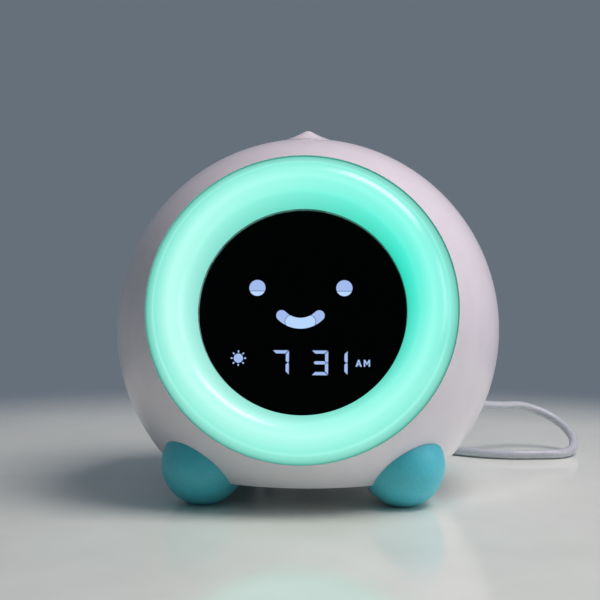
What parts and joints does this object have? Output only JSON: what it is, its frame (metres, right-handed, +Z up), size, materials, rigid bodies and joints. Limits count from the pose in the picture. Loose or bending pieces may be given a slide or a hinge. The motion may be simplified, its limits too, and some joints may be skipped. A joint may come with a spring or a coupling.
{
  "type": "kids alarm clock with night light",
  "caption": "Round bedside alarm clock on four ball feet, with a glowing ring around a tilted black display, a press-down top tip, rear keys and a thin power lead.",
  "frame": {"origin": "on the table under the middle of the clock (its lead and plugs left out), at the soles of the feet", "axes": "+Z up, the display looks along -Y, +X to the right as seen by someone facing the display"},
  "size_m": [0.1925, 0.2088, 0.1398],
  "materials": {
    "shell_white": "glossy moulded ABS",
    "ring_mint": "milky translucent, lit from inside",
    "window_smoke": "clear, lightly smoked",
    "inner_white": "moulded, unpolished",
    "screw_steel": "zinc plated",
    "speaker_steel": "pressed, plain",
    "lcd_black": "polished black",
    "mark_blue": "lit marks",
    "backlight_white": "frosted",
    "inner_black": "moulded",
    "board_green": "solder resist",
    "lamp_mint": "lamp bodies",
    "key_teal": "satin",
    "cone_paper": "pressed paper",
    "cell_wrap": "plain wrap",
    "contact_brass": "plated strip",
    "spring_steel": "drawn wire",
    "foot_teal": "soft matte",
    "ribbon_grey": "flat cable",
    "lead_red": "wire cover",
    "cord_white": "soft PVC",
    "usb_white": "moulded grip over a steel shell"
  },
  "bodies": {
    "clock": {"front_shell": "shell_white", "rear_shell": "shell_white", "base_plate": "shell_white", "base_screws": "screw_steel", "case_screws": "screw_steel", "light_ring": "ring_mint", "display_window": "window_smoke", "face_frame": "inner_white", "frame_screws": "screw_steel", "lcd_panel": "lcd_black", "lcd_eyes": "mark_blue", "lcd_mouth": "mark_blue", "lcd_digits": "mark_blue", "lcd_sun": "mark_blue", "lcd_am": "mark_blue", "backlight": "backlight_white", "display_plate": "inner_black", "plate_screws": "screw_steel", "main_board": "board_green", "main_chips": "inner_black", "board_screws": "screw_steel", "led_board": "inner_white", "leds": "lamp_mint", "top_switch_board": "board_green", "top_switch": "inner_black", "top_board_screws": "screw_steel", "rear_panel": "shell_white", "panel_screws": "screw_steel", "key_board": "board_green", "key_switches": "inner_black", "key_board_screws": "screw_steel", "speaker_frame": "speaker_steel", "speaker_cone": "cone_paper", "speaker_magnet": "inner_black", "dc_jack": "inner_black", "battery_cells": "cell_wrap", "battery_contacts": "contact_brass", "battery_springs": "spring_steel", "foot_front_left": "foot_teal", "foot_front_right": "foot_teal", "foot_rear_left": "foot_teal", "foot_rear_right": "foot_teal", "ribbon_cable": "ribbon_grey", "battery_leads": "lead_red", "dc_plug": "cord_white", "cord_lead": "cord_white", "cord_coil": "cord_white", "cord_tail": "cord_white", "cord_tie": "cord_white", "usb_plug": "usb_white"},
    "top_button": {"top_button": "shell_white"},
    "battery_door": {"battery_door": "shell_white", "door_screw": "screw_steel"},
    "key_clock": {"key_clock": "key_teal"},
    "key_alarm": {"key_alarm": "key_teal"},
    "key_down": {"key_down": "key_teal"},
    "key_up": {"key_up": "key_teal"},
    "key_sound": {"key_sound": "key_teal"},
    "key_light": {"key_light": "key_teal"}
  },
  "joints": [
    {"name": "top_button_press", "type": "slide", "parent": "clock", "child": "top_button", "axis": [0, 0, -1], "range_m": [0, 0.001], "stiffness_N_per_m": 800, "springref_m": -0.001},
    {"name": "key_clock_press", "type": "slide", "parent": "clock", "child": "key_clock", "axis": [0, -1, 0], "range_m": [0, 0.0006], "stiffness_N_per_m": 1200, "springref_m": -0.0006},
    {"name": "key_alarm_press", "type": "slide", "parent": "clock", "child": "key_alarm", "axis": [0, -1, 0], "range_m": [0, 0.0006], "stiffness_N_per_m": 1200, "springref_m": -0.0006},
    {"name": "key_down_press", "type": "slide", "parent": "clock", "child": "key_down", "axis": [0, -1, 0], "range_m": [0, 0.0006], "stiffness_N_per_m": 1200, "springref_m": -0.0006},
    {"name": "key_up_press", "type": "slide", "parent": "clock", "child": "key_up", "axis": [0, -1, 0], "range_m": [0, 0.0006], "stiffness_N_per_m": 1200, "springref_m": -0.0006},
    {"name": "key_sound_press", "type": "slide", "parent": "clock", "child": "key_sound", "axis": [0, -1, 0], "range_m": [0, 0.0006], "stiffness_N_per_m": 1200, "springref_m": -0.0006},
    {"name": "key_light_press", "type": "slide", "parent": "clock", "child": "key_light", "axis": [0, -1, 0], "range_m": [0, 0.0006], "stiffness_N_per_m": 1200, "springref_m": -0.0006},
    {"name": "battery_door_lift_off", "type": "slide", "parent": "clock", "child": "battery_door", "axis": [0, 0, -1], "range_m": [0, 0.007]}
  ]
}
